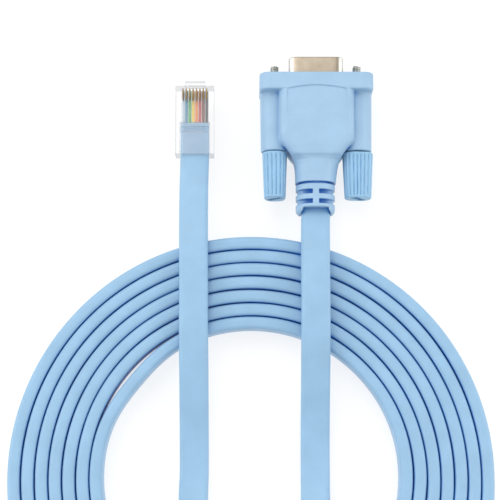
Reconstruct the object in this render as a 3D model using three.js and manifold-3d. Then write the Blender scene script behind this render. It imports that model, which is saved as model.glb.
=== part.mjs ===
// A console cable: a flat cable wound into a flat coil, with a nine-way D-sub socket on one end
// and an eight-way modular plug on the other. Millimetres, +Z up. It lies on the plane z = 0.
// The origin is under the middle of the D-sub connector, whose mating face looks along +Y.

import * as THREE from 'three';
import { mergeVertices } from 'three/addons/utils/BufferGeometryUtils.js';
import Module from 'manifold-3d';

const wasm = await Module();
wasm.setup();

// Clearances
const FIT = 0.3; // between a cord and what it meets, and round a turning screw
const SEAT = 0.1; // round a fixed piece in its pocket
const CUT = 1; // how far a cutting tool runs past the face that it opens

// D-sub hood: one moulding, named from its front to its cable end
const HOOD_HEIGHT = 15.5;
const FLANGE_WIDTH = 34.2;
const FLANGE_DEPTH = 5.2;
const FLANGE_CORNER = 3.0;
const FLANGE_EDGE = 0.6;
const BODY_WIDTH = 22.8;
const BODY_LENGTH = 14.5;
const BODY_CORNER = 2.6;
const SHOULDER_LENGTH = 6.4;
const NECK_LENGTH = 6.4;
const NECK_TOP_WIDTH = 13.4; // where the shoulders run into the neck
const NECK_WIDTH = 12.5;
const NECK_HEIGHT = 12.0;
const RELIEF_LENGTH = 9.8;
const RELIEF_WIDTH = 11.8;
const RELIEF_HEIGHT = 11.4;
const RELIEF_CORNER = 5.2;
const RELIEF_EDGE = 1.0;
const EAR_DIAMETER = 9.2;
const EAR_LENGTH = 17.9;

// Strain relief: a step, two pairs of pockets beside a spine on the top and the bottom, and a
// mouth round the cable
const STEP_DEPTH = 0.7;
const STEP_WIDTH = 0.6;
const STEP_FROM_END = 9.0;
const POCKET_WIDTH = 1.4;
const POCKET_FLOOR = 2.6; // above and below the axis
const POCKETS_FROM_END = [6.35, 3.45];
const SPINE_WIDTH = 1.8;
const MOUTH_HEIGHT = 6.2;
const MOUTH_DEPTH = 6.4;
const MOUTH_CORNER = 1.6;
const MOUTH_FLARE_HEIGHT = 10.4; // a shallow arched recess round the mouth
const MOUTH_FLARE_DEPTH = 1.6;
const MOUTH_FLARE_CORNER = 3.6;

// Label recess on the top and the bottom of the hood, bare, with an arched front edge
const RECESS_WIDTH = 17.8;
const RECESS_LENGTH = 8.4;
const RECESS_ARCH = 1.1;
const RECESS_DEPTH = 0.4;
const RECESS_FROM_FRONT = 4.1;

// Metal D shell and its insulator
const SHELL_WIDTH = 16.33;
const SHELL_HEIGHT = 7.9;
const SHELL_CORNER = 2.5;
const SHELL_SLANT = THREE.MathUtils.degToRad(10);
const SHELL_WALL = 0.45;
const SHELL_REACH = 5.8;
const SHELL_SEAT = 1.6;
const INSULATOR_RECESS = 0.4;
const CONTACT_PITCH = 2.77;
const CONTACT_ROWS = 2.84;
const WIDE_ROW = 5;
const NARROW_ROW = 4;
const CONTACT_OUTSIDE = 1.6;
const CONTACT_BORE = 1.0;
const CONTACT_RECESS = 0.7;
const HOLE_MOUTH = 1.2;

// Jackscrews and their knobs
const SCREW_SPACING = 24.99;
const SCREW_DIAMETER = 2.8;
const SCREW_REACH = 3.7;
const SCREW_IN_KNOB = 8.0;
const SCREW_TIP = 0.5;
const KNOB_LENGTH = 13.9;
const KNOB_WIDE = 9.3;
const KNOB_NARROW = 7.5;
const KNOB_TAPER = 0.86;
const KNOB_RIBS = 20;
const KNOB_RIB_DEPTH = 0.35;
const KNOB_ROUNDNESS = 2.6;
const KNOB_EDGE = 0.6;
const DRIVER_SLOT_WIDTH = 1.4;
const DRIVER_SLOT_LENGTH = 4.8;
const DRIVER_SLOT_DEPTH = 1.4;
const DRIVER_SLOT_ANGLE = THREE.MathUtils.degToRad(50); // from the knob's wide way
const KNOB_TURNS = { left: THREE.MathUtils.degToRad(-93), right: THREE.MathUtils.degToRad(3) };

// Flat cable
const CABLE_WIDTH = 8.6;
const CABLE_THICKNESS = 3.7;
const CABLE_CORNER = 1.5;

// Coil: turns on edge
const COIL_CENTRE = new THREE.Vector2(-19.6, -101.95);
const COIL_BORE_RADIUS = 43.6;
const COIL_PITCH = 4.0;
const COIL_TURNS = 7;
const COIL_GROOVE = 1.3;
const COIL_SEGMENTS = 60;

// Modular plug, contacts up
const PLUG_X = -36.6;
const PLUG_FRONT = 15.1;
const PLUG_LENGTH = 20.95;
const PLUG_WIDTH = 11.68;
const PLUG_HEIGHT = 6.6;
const PLUG_BOTTOM = 4.6;
const PLUG_EDGE = 0.35;
const PLUG_CABLE_AXIS = 7.9;
const WAYS = 8;
const WAY_PITCH = 1.02;
const WIRE_DIAMETER = 0.9;
const WIRE_AXIS = 8.45;
const WIRE_ROOM = 0.1;
const WIRE_FRONT_WALL = 1.0;
const JACKET_IN_PLUG = 9.75;
const BLADE_THICKNESS = 0.3;
const BLADE_LENGTH = 3.2;
const BLADE_FROM_FRONT = 0.9;
const BLADE_BELOW_TOP = 0.35;
const CRIMP_FROM_FRONT = 12.6;
const CRIMP_LENGTH = 1.6;
const CRIMP_WIDTH = 8.4;
const CRIMP_DEPTH = 0.9;
const NOSE_LENGTH = 2.5;
const NOSE_WIDTH = 6.1;
const NOSE_HEIGHT = 2.9;
const NOSE_CORNER = 0.4;
const NOSE_BEVEL = 0.5;
const LATCH_GAP = 0.3;
const LATCH_THICKNESS = 0.9;
const LATCH_LENGTH = 17.0;
const LATCH_TAIL_WIDTH = 3.3;
const LATCH_SHOULDER = 8.5;
const LATCH_DROP = 3.1;
const LATCH_CORNER = 0.2;
const LATCH_SHOULDER_RUN = 1.0;
const LATCH_ROOT_SETBACK = 0.4;

// The leads' routes from each connector: x and y from the coil's centre, z from the floor, and how
// far the flat cable leans over, from 0 lying flat to 90 standing on edge
const LEAD_RJ45_ROUTE = [
  [-17.0, 105.9, 7.9, 0],
  [-17.0, 96.0, 7.9, 0],
  [-17.2, 86.0, 8.4, 0],
  [-17.2, 76.0, 9.9, 0],
  [-17.1, 66.0, 11.1, 0],
  [-17.0, 54.0, 11.4, 0],
  [-17.0, 43.0, 11.2, 0],
  [-16.9, 33.0, 9.6, 0],
  [-16.9, 22.0, 6.2, 0],
  [-16.9, 11.0, 3.2, 0],
  [-16.9, 1.0, 2.1, 0],
  [-17.0, -8.6, 2.6, 14],
  [-14.7, -20.1, 3.7, 38],
  [-8.2, -29.8, 4.4, 64],
  [1.5, -36.3, 4.5, 84],
  [13.0, -38.6, 4.5, 90],
];
const LEAD_DB9_ROUTE = [
  [19.6, 84.0, 7.75, 0],
  [19.4, 79.2, 8.0, 0],
  [19.2, 74.4, 9.2, 0],
  [19.1, 68.6, 11.1, 0],
  [19.0, 62.0, 12.5, 0],
  [19.0, 54.0, 13.2, 0],
  [19.0, 46.0, 13.0, 0],
  [19.0, 38.0, 11.7, 0],
  [19.0, 28.0, 8.2, 0],
  [19.0, 17.0, 4.4, 0],
  [19.0, 6.0, 2.5, 0],
  [19.0, -4.0, 3.2, 4],
  [19.1, -13.0, 6.0, 30],
  [19.3, -22.0, 10.0, 58],
  [19.5, -30.0, 12.7, 80],
  [19.4, -38.2, 13.4, 90],
  [16.1, -52.3, 13.3, 90],
  [6.5, -63.0, 13.3, 90],
  [-6.6, -68.0, 13.3, 90],
  [-18.3, -67.1, 13.3, 90],
];
const LEAD_FACES_PER_CORNER = 2;
const LEAD_STEP = 6.5;

// Fineness of the round stretches
const WELD = 1e-4; // points nearer than this are one
const CORNER_STEPS = 4;
const SECTION_STEPS = 5;
const NOSE_STEPS = 2;
const BEVEL_STEPS = 1;
const RECESS_STEPS = 8;
const ROD_SEGMENTS = 16;
const EAR_SEGMENTS = 24;
const CONTACT_SEGMENTS = 12;
const WIRE_SEGMENTS = 8;

// Worked out from the sizes above
const AXIS_Z = HOOD_HEIGHT / 2;
const HOOD_LENGTH = FLANGE_DEPTH + BODY_LENGTH + SHOULDER_LENGTH + NECK_LENGTH + RELIEF_LENGTH;
const DSUB_LENGTH = SHELL_REACH + HOOD_LENGTH;
const SHELL_FRONT = DSUB_LENGTH / 2;
const HOOD_FRONT = SHELL_FRONT - SHELL_REACH;
const FLANGE_BACK = HOOD_FRONT - FLANGE_DEPTH;
const BODY_BACK = FLANGE_BACK - BODY_LENGTH;
const SHOULDER_BACK = BODY_BACK - SHOULDER_LENGTH;
const RELIEF_START = SHOULDER_BACK - NECK_LENGTH;
const HOOD_BACK = RELIEF_START - RELIEF_LENGTH;
const SHELL_BACK = HOOD_FRONT - SHELL_SEAT;
const PLUG_BACK = PLUG_FRONT - PLUG_LENGTH;
const PLUG_TOP = PLUG_BOTTOM + PLUG_HEIGHT;
const JACKET_FRONT = PLUG_BACK + JACKET_IN_PLUG;

function material(colour, roughness, metalness = 0) {
  return new THREE.MeshStandardMaterial({ color: colour, roughness, metalness });
}

const bluePvc = material(0xa8cdea, 0.45);
const steel = material(0xb9b4ac, 0.3, 1);
const nickel = material(0xc9bfb2, 0.25, 1);
const gold = material(0xd9b25c, 0.25, 1);
const darkPlastic = material(0x26282c, 0.5);
const clearPlastic = material(0xeef3f5, 0.08);
clearPlastic.transparent = true;
clearPlastic.opacity = 0.35;
const wireColours = [0xc8d4dc, 0x2f8fb0, 0x3fae55, 0xe8c53a, 0xe88a2a, 0xc33a30, 0x7a2f26, 0x35383c];

// Closed geometry to a solid for joining and cutting, and back
function toSolid(geometry) {
  const bare = geometry.clone();
  bare.deleteAttribute('normal');
  bare.deleteAttribute('uv');
  const merged = mergeVertices(bare, WELD);
  const mesh = new wasm.Mesh({
    numProp: 3,
    vertProperties: new Float32Array(merged.attributes.position.array),
    triVerts: new Uint32Array(merged.index.array),
  });
  return new wasm.Manifold(mesh);
}

function toGeometry(solid) {
  const mesh = solid.getMesh();
  const geometry = new THREE.BufferGeometry();
  geometry.setAttribute('position', new THREE.BufferAttribute(new Float32Array(mesh.vertProperties), 3));
  geometry.setIndex(new THREE.BufferAttribute(new Uint32Array(mesh.triVerts), 1));
  geometry.computeVertexNormals();
  return geometry;
}

function join(geometries) {
  return geometries.map(toSolid).reduce((whole, piece) => whole.add(piece));
}

function cut(solid, tools) {
  return tools.map(toSolid).reduce((whole, tool) => whole.subtract(tool), solid);
}

// A box from its lowest to its highest corner
function boxBetween(low, high) {
  const size = high.map((value, i) => value - low[i]);
  const middle = high.map((value, i) => (value + low[i]) / 2);
  return new THREE.BoxGeometry(...size).translate(...middle);
}

// Rings of the same number of points, skinned in order and closed with a fan on each end
function skin(rings) {
  const count = rings[0].length;
  const corners = rings.flat();
  const index = [];
  for (let ring = 0; ring + 1 < rings.length; ring += 1) {
    for (let i = 0; i < count; i += 1) {
      const next = (i + 1) % count;
      const a = ring * count + i;
      const b = ring * count + next;
      index.push(a, b, b + count, a, b + count, a + count);
    }
  }
  for (const [ring, turned] of [[0, true], [rings.length - 1, false]]) {
    const middle = rings[ring].reduce((sum, p) => sum.add(p), new THREE.Vector3()).divideScalar(count);
    corners.push(middle);
    for (let i = 0; i < count; i += 1) {
      const a = ring * count + i;
      const b = ring * count + ((i + 1) % count);
      index.push(corners.length - 1, ...(turned ? [b, a] : [a, b]));
    }
  }
  const geometry = new THREE.BufferGeometry().setFromPoints(corners);
  geometry.setIndex(index);
  geometry.computeVertexNormals();
  return geometry;
}

// An outline in the plane across Y becomes a ring at a station along Y. Rings run towards -Y.
function ringAt(y, outline, x = 0, z = 0) {
  return outline.map((p) => new THREE.Vector3(x + p.x, y, z + p.y));
}

function roundedOutline(width, height, radius, stepsPerCorner = CORNER_STEPS) {
  const r = Math.min(radius, width / 2, height / 2);
  const points = [];
  for (let corner = 0; corner < 4; corner += 1) {
    const start = (corner * Math.PI) / 2;
    const sideX = corner === 0 || corner === 3 ? 1 : -1;
    const sideZ = corner < 2 ? 1 : -1;
    for (let step = 0; step <= stepsPerCorner; step += 1) {
      const angle = start + (step / stepsPerCorner) * (Math.PI / 2);
      const x = sideX * (width / 2 - r) + r * Math.cos(angle);
      const z = sideZ * (height / 2 - r) + r * Math.sin(angle);
      points.push(new THREE.Vector2(x, z));
    }
  }
  return points;
}

// A turned solid along Y from a profile of [radius, y] pairs
function turned(profile, segments) {
  return new THREE.LatheGeometry(profile.map(([r, y]) => new THREE.Vector2(r, y)), segments);
}

function rod(radius, from, to, segments = ROD_SEGMENTS) {
  return turned([[0, from], [radius, from], [radius, to], [0, to]], segments);
}

// The D outline of the shell, drawn inside the outer one by an inset
function dShape(inset) {
  const slope = Math.tan(SHELL_SLANT);
  const draw = slope + 1 / Math.cos(SHELL_SLANT);
  const height = SHELL_HEIGHT - 2 * inset;
  const top = SHELL_WIDTH / 2 + SHELL_CORNER * (draw - 1) - inset * draw;
  const radius = Math.max(SHELL_CORNER - inset, SHELL_CORNER / 4);
  const corners = [
    [top, height / 2],
    [-top, height / 2],
    [-top + height * slope, -height / 2],
    [top - height * slope, -height / 2],
  ].map(([x, z]) => new THREE.Vector2(x, z));
  const shape = new THREE.Shape();
  corners.forEach((corner, i) => {
    const before = corners[(i + 3) % 4].clone().sub(corner).normalize();
    const after = corners[(i + 1) % 4].clone().sub(corner).normalize();
    const reach = radius / Math.tan(before.angleTo(after) / 2);
    const enter = corner.clone().addScaledVector(before, reach);
    const leave = corner.clone().addScaledVector(after, reach);
    if (i === 0) shape.moveTo(enter.x, enter.y);
    else shape.lineTo(enter.x, enter.y);
    shape.quadraticCurveTo(corner.x, corner.y, leave.x, leave.y);
  });
  shape.closePath();
  return shape;
}

// A shape drawn across Y, pushed from its front face towards -Y
function pushedBack(shape, front, length) {
  const settings = { depth: length, bevelEnabled: false, curveSegments: SECTION_STEPS };
  const geometry = new THREE.ExtrudeGeometry(shape, settings);
  return geometry.rotateX(Math.PI / 2).translate(0, front, AXIS_Z);
}

// Hood
function flangeSolid() {
  const inner = roundedOutline(FLANGE_WIDTH - 2 * FLANGE_EDGE, HOOD_HEIGHT - 2 * FLANGE_EDGE, FLANGE_CORNER);
  const outer = roundedOutline(FLANGE_WIDTH, HOOD_HEIGHT, FLANGE_CORNER);
  return skin([
    ringAt(HOOD_FRONT, inner, 0, AXIS_Z),
    ringAt(HOOD_FRONT - FLANGE_EDGE, outer, 0, AXIS_Z),
    ringAt(FLANGE_BACK + FLANGE_EDGE, outer, 0, AXIS_Z),
    ringAt(FLANGE_BACK, inner, 0, AXIS_Z),
  ]);
}

// How the shoulders run from the body to the neck: the share of their length, then how far they
// have narrowed and come down by there
const SHOULDER_CURVE = [
  [0, 0, 0],
  [0.3, 0.14, 0.03],
  [0.55, 0.46, 0.1],
  [0.74, 0.6, 0.2],
  [0.88, 0.66, 0.75],
  [1, 0.7, 0.95],
];
const NECK_WAIST = 0.45; // the share of the neck that still narrows

// Body, shoulders, neck and relief are one skin through rounded sections
function bodySolid() {
  const between = (from, to, share) => from + (to - from) * share;
  const section = (y, width, height, radius) =>
    ringAt(y, roundedOutline(width, height, radius, SECTION_STEPS), 0, AXIS_Z);
  const shoulder = (along, narrowed, lowered) =>
    section(
      between(BODY_BACK, SHOULDER_BACK, along),
      between(BODY_WIDTH, NECK_WIDTH, narrowed),
      between(HOOD_HEIGHT, NECK_HEIGHT, lowered),
      between(BODY_CORNER, RELIEF_CORNER, narrowed),
    );
  return skin([
    section(HOOD_FRONT - FLANGE_EDGE, BODY_WIDTH, HOOD_HEIGHT, BODY_CORNER),
    ...SHOULDER_CURVE.map((stage) => shoulder(...stage)),
    section(between(SHOULDER_BACK, RELIEF_START, NECK_WAIST), NECK_TOP_WIDTH, NECK_HEIGHT, RELIEF_CORNER),
    section(RELIEF_START, NECK_WIDTH, NECK_HEIGHT, RELIEF_CORNER),
    section(HOOD_BACK + STEP_FROM_END, RELIEF_WIDTH, RELIEF_HEIGHT, RELIEF_CORNER),
    section(HOOD_BACK + RELIEF_EDGE, RELIEF_WIDTH, RELIEF_HEIGHT, RELIEF_CORNER),
    section(HOOD_BACK, RELIEF_WIDTH - 2 * RELIEF_EDGE, RELIEF_HEIGHT - 2 * RELIEF_EDGE, RELIEF_CORNER),
  ]);
}

function earSolid(side) {
  const radius = EAR_DIAMETER / 2;
  const back = FLANGE_BACK - EAR_LENGTH;
  const ear = rod(radius, back, FLANGE_BACK + FLANGE_EDGE, EAR_SEGMENTS);
  return ear.translate((side * SCREW_SPACING) / 2, 0, AXIS_Z);
}

function pocketTools() {
  const tools = [];
  const outside = RELIEF_WIDTH / 2 + CUT;
  for (const fromEnd of POCKETS_FROM_END) {
    const y = HOOD_BACK + fromEnd;
    for (const [left, right] of [[-outside, -SPINE_WIDTH / 2], [SPINE_WIDTH / 2, outside]]) {
      for (const [low, high] of [[POCKET_FLOOR, NECK_HEIGHT], [-NECK_HEIGHT, -POCKET_FLOOR]]) {
        tools.push(
          boxBetween(
            [left, y - POCKET_WIDTH / 2, AXIS_Z + low],
            [right, y + POCKET_WIDTH / 2, AXIS_Z + high],
          ),
        );
      }
    }
  }
  return tools;
}

// A narrow ring cut round the relief where the neck steps down to it
function stepTool() {
  const y = HOOD_BACK + STEP_FROM_END;
  const disc = (width, height, radius, half) => {
    const outline = roundedOutline(width, height, radius, SECTION_STEPS);
    return toSolid(skin([y + half, y - half].map((at) => ringAt(at, outline, 0, AXIS_Z))));
  };
  const outer = disc(NECK_WIDTH + 2 * CUT, NECK_HEIGHT + 2 * CUT, RELIEF_CORNER + CUT, STEP_WIDTH / 2);
  const inner = disc(
    RELIEF_WIDTH - 2 * STEP_DEPTH,
    RELIEF_HEIGHT - 2 * STEP_DEPTH,
    RELIEF_CORNER - STEP_DEPTH,
    STEP_WIDTH,
  );
  return toGeometry(outer.subtract(inner));
}

function mouthTool(height, corner, depth) {
  const outline = roundedOutline(CABLE_WIDTH + 2 * FIT, height, corner, SECTION_STEPS);
  return skin([ringAt(HOOD_BACK + depth, outline, 0, AXIS_Z), ringAt(HOOD_BACK - CUT, outline, 0, AXIS_Z)]);
}

// The recess runs out to nothing towards the cable, so its tool is tilted about its shallow end
function recessTool(up) {
  const half = RECESS_WIDTH / 2;
  const shape = new THREE.Shape();
  shape.moveTo(-half, 0);
  shape.lineTo(half, 0);
  shape.lineTo(half, RECESS_LENGTH - RECESS_ARCH);
  shape.quadraticCurveTo(0, RECESS_LENGTH + RECESS_ARCH, -half, RECESS_LENGTH - RECESS_ARCH);
  shape.closePath();
  const settings = { depth: CUT + RECESS_DEPTH, bevelEnabled: false, curveSegments: RECESS_STEPS };
  const tool = new THREE.ExtrudeGeometry(shape, settings);
  tool.rotateX(-Math.atan(RECESS_DEPTH / RECESS_LENGTH));
  tool.translate(0, HOOD_FRONT - RECESS_FROM_FRONT - RECESS_LENGTH, HOOD_HEIGHT / 2);
  if (!up) tool.rotateY(Math.PI);
  return tool.translate(0, 0, AXIS_Z);
}

// The shoulders are hollowed round each knob, so that it can turn
function knobRoom(side) {
  const radius = Math.max(KNOB_WIDE, KNOB_NARROW) / 2 + FIT;
  const earBack = FLANGE_BACK - EAR_LENGTH;
  const room = rod(radius, earBack - FIT - KNOB_LENGTH - CUT, earBack, EAR_SEGMENTS);
  return room.translate((side * SCREW_SPACING) / 2, 0, AXIS_Z);
}

function hood() {
  const whole = join([flangeSolid(), bodySolid(), earSolid(-1), earSolid(1)]);
  const bore = (side) =>
    rod(SCREW_DIAMETER / 2 + FIT, FLANGE_BACK - EAR_LENGTH - CUT, HOOD_FRONT + CUT).translate(
      (side * SCREW_SPACING) / 2,
      0,
      AXIS_Z,
    );
  return toGeometry(
    cut(whole, [
      bore(-1),
      bore(1),
      knobRoom(-1),
      knobRoom(1),
      pushedBack(dShape(-SEAT), HOOD_FRONT + CUT, SHELL_SEAT + SEAT + CUT),
      mouthTool(MOUTH_HEIGHT, MOUTH_CORNER, MOUTH_DEPTH),
      mouthTool(MOUTH_FLARE_HEIGHT, MOUTH_FLARE_CORNER, MOUTH_FLARE_DEPTH),
      stepTool(),
      ...pocketTools(),
      recessTool(true),
      recessTool(false),
    ]),
  );
}

// Shell, insulator and contacts
function shell() {
  const outer = toSolid(pushedBack(dShape(0), SHELL_FRONT, SHELL_FRONT - SHELL_BACK));
  const inner = pushedBack(dShape(SHELL_WALL), SHELL_FRONT + CUT, SHELL_FRONT - SHELL_BACK + 2 * CUT);
  return toGeometry(cut(outer, [inner]));
}

function contactPlaces() {
  const row = (count, z) =>
    Array.from({ length: count }, (_, i) => [(i - (count - 1) / 2) * CONTACT_PITCH, AXIS_Z + z]);
  return [...row(WIDE_ROW, CONTACT_ROWS / 2), ...row(NARROW_ROW, -CONTACT_ROWS / 2)];
}

const INSULATOR_FRONT = SHELL_FRONT - INSULATOR_RECESS;
const CONTACT_FRONT = INSULATOR_FRONT - CONTACT_RECESS;

function insulator() {
  const block = toSolid(pushedBack(dShape(SHELL_WALL + SEAT), INSULATOR_FRONT, INSULATOR_FRONT - SHELL_BACK));
  const room = CONTACT_OUTSIDE / 2 + SEAT / 2;
  const hole = [
    [0, SHELL_BACK - CUT],
    [room, SHELL_BACK - CUT],
    [room, CONTACT_FRONT + SEAT],
    [HOLE_MOUTH / 2, CONTACT_FRONT + SEAT],
    [HOLE_MOUTH / 2, INSULATOR_FRONT + CUT],
    [0, INSULATOR_FRONT + CUT],
  ];
  const holes = contactPlaces().map(([x, z]) => turned(hole, CONTACT_SEGMENTS).translate(x, 0, z));
  return toGeometry(cut(block, holes));
}

function socketContact(x, z) {
  const profile = [
    [CONTACT_BORE / 2, SHELL_BACK],
    [CONTACT_OUTSIDE / 2, SHELL_BACK],
    [CONTACT_OUTSIDE / 2, CONTACT_FRONT],
    [CONTACT_BORE / 2, CONTACT_FRONT],
    [CONTACT_BORE / 2, SHELL_BACK],
  ];
  return turned(profile, CONTACT_SEGMENTS).translate(x, 0, z);
}

// Knobs and screws, each drawn round the Y axis and placed on its screw
const KNOB_FRONT = FLANGE_BACK - EAR_LENGTH - FIT;
const KNOB_BACK = KNOB_FRONT - KNOB_LENGTH;
const SCREW_BACK = KNOB_FRONT - SCREW_IN_KNOB;

function flutedOutline(scale) {
  const points = [];
  for (let i = 0; i < KNOB_RIBS * 2; i += 1) {
    const angle = (i / (KNOB_RIBS * 2)) * 2 * Math.PI;
    const across = Math.abs(Math.cos(angle) / (KNOB_WIDE / 2)) ** KNOB_ROUNDNESS;
    const upward = Math.abs(Math.sin(angle) / (KNOB_NARROW / 2)) ** KNOB_ROUNDNESS;
    const groove = i % 2 === 0 ? 0 : KNOB_RIB_DEPTH;
    const radius = ((across + upward) ** (-1 / KNOB_ROUNDNESS) - groove) * scale;
    points.push(new THREE.Vector2(radius * Math.cos(angle), radius * Math.sin(angle)));
  }
  return points;
}

function knob() {
  const edge = (KNOB_WIDE - 2 * KNOB_EDGE) / KNOB_WIDE;
  const whole = skin([
    ringAt(KNOB_FRONT, flutedOutline(edge)),
    ringAt(KNOB_FRONT - KNOB_EDGE, flutedOutline(1)),
    ringAt(KNOB_BACK + KNOB_EDGE, flutedOutline(KNOB_TAPER)),
    ringAt(KNOB_BACK, flutedOutline(KNOB_TAPER * edge)),
  ]);
  const socket = rod(SCREW_DIAMETER / 2 + SEAT, SCREW_BACK - SEAT, KNOB_FRONT + CUT);
  const slot = boxBetween(
    [-DRIVER_SLOT_LENGTH / 2, KNOB_BACK - CUT, -DRIVER_SLOT_WIDTH / 2],
    [DRIVER_SLOT_LENGTH / 2, KNOB_BACK + DRIVER_SLOT_DEPTH, DRIVER_SLOT_WIDTH / 2],
  ).rotateY(DRIVER_SLOT_ANGLE);
  return toGeometry(cut(toSolid(whole), [socket, slot]));
}

function screw() {
  const radius = SCREW_DIAMETER / 2;
  const tip = HOOD_FRONT + SCREW_REACH;
  const profile = [
    [0, SCREW_BACK],
    [radius, SCREW_BACK],
    [radius, tip - SCREW_TIP],
    [radius - SCREW_TIP, tip],
    [0, tip],
  ];
  return turned(profile, ROD_SEGMENTS);
}

// A flat cable's route: a smooth curve through its points, with a chosen lean in place of a
// computed twist
class FlatRoute extends THREE.Curve {
  constructor(stations) {
    super();
    this.leans = stations.map((s) => THREE.MathUtils.degToRad(s[3]));
    this.spline = new THREE.CatmullRomCurve3(
      stations.map(([x, y, z]) => new THREE.Vector3(COIL_CENTRE.x + x, COIL_CENTRE.y + y, z)),
      false,
      'centripetal',
    );
  }

  getPoint(t, target = new THREE.Vector3()) {
    return this.spline.getPoint(t, target);
  }

  leanAt(u) {
    const place = this.getUtoTmapping(u) * (this.leans.length - 1);
    const before = Math.min(Math.floor(place), this.leans.length - 2);
    return THREE.MathUtils.lerp(this.leans[before], this.leans[before + 1], place - before);
  }

  computeFrenetFrames(segments) {
    const frames = { tangents: [], normals: [], binormals: [] };
    const up = new THREE.Vector3(0, 0, 1);
    for (let i = 0; i <= segments; i += 1) {
      const tangent = this.getTangentAt(i / segments);
      const side = new THREE.Vector3().crossVectors(tangent, up).normalize();
      const wide = side.applyAxisAngle(tangent, this.leanAt(i / segments));
      frames.tangents.push(tangent);
      frames.normals.push(wide);
      frames.binormals.push(new THREE.Vector3().crossVectors(tangent, wide));
    }
    return frames;
  }
}

function lead(stations) {
  const route = new FlatRoute(stations);
  const section = roundedOutline(CABLE_WIDTH, CABLE_THICKNESS, CABLE_CORNER, LEAD_FACES_PER_CORNER);
  const steps = Math.ceil(route.getLength() / LEAD_STEP);
  return new THREE.ExtrudeGeometry(new THREE.Shape(section), { steps, extrudePath: route });
}

// The coil is turned about Z: each turn shows as a ridge on both ends
function coil() {
  const ridge = [];
  for (let turn = 0; turn < COIL_TURNS; turn += 1) {
    const inside = COIL_BORE_RADIUS + turn * COIL_PITCH;
    ridge.push([inside, COIL_GROOVE], [inside + COIL_GROOVE, 0], [inside + COIL_PITCH - COIL_GROOVE, 0]);
  }
  ridge.push([COIL_BORE_RADIUS + COIL_TURNS * COIL_PITCH, COIL_GROOVE]);
  const upper = ridge.map(([r, depth]) => [r, CABLE_WIDTH - depth]).reverse();
  const ring = turned([...ridge, ...upper, ridge[0]], COIL_SEGMENTS);
  return ring.rotateX(Math.PI / 2).translate(COIL_CENTRE.x, COIL_CENTRE.y, 0);
}

// Modular plug
function wayOffset(way) {
  return (way - (WAYS - 1) / 2) * WAY_PITCH;
}

function plugBody() {
  const outline = (inset) =>
    roundedOutline(PLUG_WIDTH - 2 * inset, PLUG_HEIGHT - 2 * inset, PLUG_EDGE, BEVEL_STEPS);
  const middle = PLUG_BOTTOM + PLUG_HEIGHT / 2;
  const block = skin([
    ringAt(PLUG_FRONT, outline(PLUG_EDGE), 0, middle),
    ringAt(PLUG_FRONT - PLUG_EDGE, outline(0), 0, middle),
    ringAt(PLUG_BACK, outline(0), 0, middle),
  ]);
  const noseRing = (y, inset) => {
    const section = roundedOutline(NOSE_WIDTH - 2 * inset, NOSE_HEIGHT - 2 * inset, NOSE_CORNER, NOSE_STEPS);
    return ringAt(y, section, 0, PLUG_BOTTOM + NOSE_HEIGHT / 2);
  };
  const nose = skin([
    noseRing(PLUG_FRONT + NOSE_LENGTH, NOSE_BEVEL),
    noseRing(PLUG_FRONT + NOSE_LENGTH - NOSE_BEVEL, 0),
    noseRing(PLUG_FRONT - CUT, 0),
  ]);
  const wireRoom = WIRE_DIAMETER / 2 + WIRE_ROOM;
  const wires = boxBetween(
    [wayOffset(0) - wireRoom, JACKET_FRONT - CUT, WIRE_AXIS - wireRoom],
    [wayOffset(WAYS - 1) + wireRoom, PLUG_FRONT - WIRE_FRONT_WALL, WIRE_AXIS + wireRoom],
  );
  const jacket = boxBetween(
    [-CABLE_WIDTH / 2 - FIT, PLUG_BACK - CUT, PLUG_CABLE_AXIS - CABLE_THICKNESS / 2 - FIT],
    [CABLE_WIDTH / 2 + FIT, JACKET_FRONT + FIT, PLUG_CABLE_AXIS + CABLE_THICKNESS / 2 + FIT],
  );
  const slotBack = PLUG_FRONT - BLADE_FROM_FRONT - BLADE_LENGTH - SEAT;
  const slotFront = PLUG_FRONT - BLADE_FROM_FRONT + SEAT;
  const slotHalf = BLADE_THICKNESS / 2 + SEAT;
  const slots = Array.from({ length: WAYS }, (_, way) =>
    boxBetween(
      [wayOffset(way) - slotHalf, slotBack, WIRE_AXIS],
      [wayOffset(way) + slotHalf, slotFront, PLUG_TOP + CUT],
    ),
  );
  const crimp = boxBetween(
    [-CRIMP_WIDTH / 2, PLUG_FRONT - CRIMP_FROM_FRONT - CRIMP_LENGTH, PLUG_TOP - CRIMP_DEPTH],
    [CRIMP_WIDTH / 2, PLUG_FRONT - CRIMP_FROM_FRONT, PLUG_TOP + CUT],
  );
  return toGeometry(cut(join([block, nose]), [wires, jacket, crimp, ...slots])).translate(PLUG_X, 0, 0);
}

function plugLatch() {
  const front = PLUG_FRONT + NOSE_LENGTH - LATCH_ROOT_SETBACK;
  const top = PLUG_BOTTOM - LATCH_GAP;
  const station = (along, width) => {
    const z = top - (along / LATCH_LENGTH) * LATCH_DROP - LATCH_THICKNESS / 2;
    const section = roundedOutline(width, LATCH_THICKNESS, LATCH_CORNER, BEVEL_STEPS);
    return ringAt(front - along, section, PLUG_X, z);
  };
  return skin([
    station(0, NOSE_WIDTH),
    station(LATCH_SHOULDER, NOSE_WIDTH),
    station(LATCH_SHOULDER + LATCH_SHOULDER_RUN, LATCH_TAIL_WIDTH),
    station(LATCH_LENGTH, LATCH_TAIL_WIDTH),
  ]);
}

function plugBlade(way) {
  const x = PLUG_X + wayOffset(way);
  return boxBetween(
    [
      x - BLADE_THICKNESS / 2,
      PLUG_FRONT - BLADE_FROM_FRONT - BLADE_LENGTH,
      WIRE_AXIS + WIRE_DIAMETER / 2 + SEAT,
    ],
    [x + BLADE_THICKNESS / 2, PLUG_FRONT - BLADE_FROM_FRONT, PLUG_TOP - BLADE_BELOW_TOP],
  );
}

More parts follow.
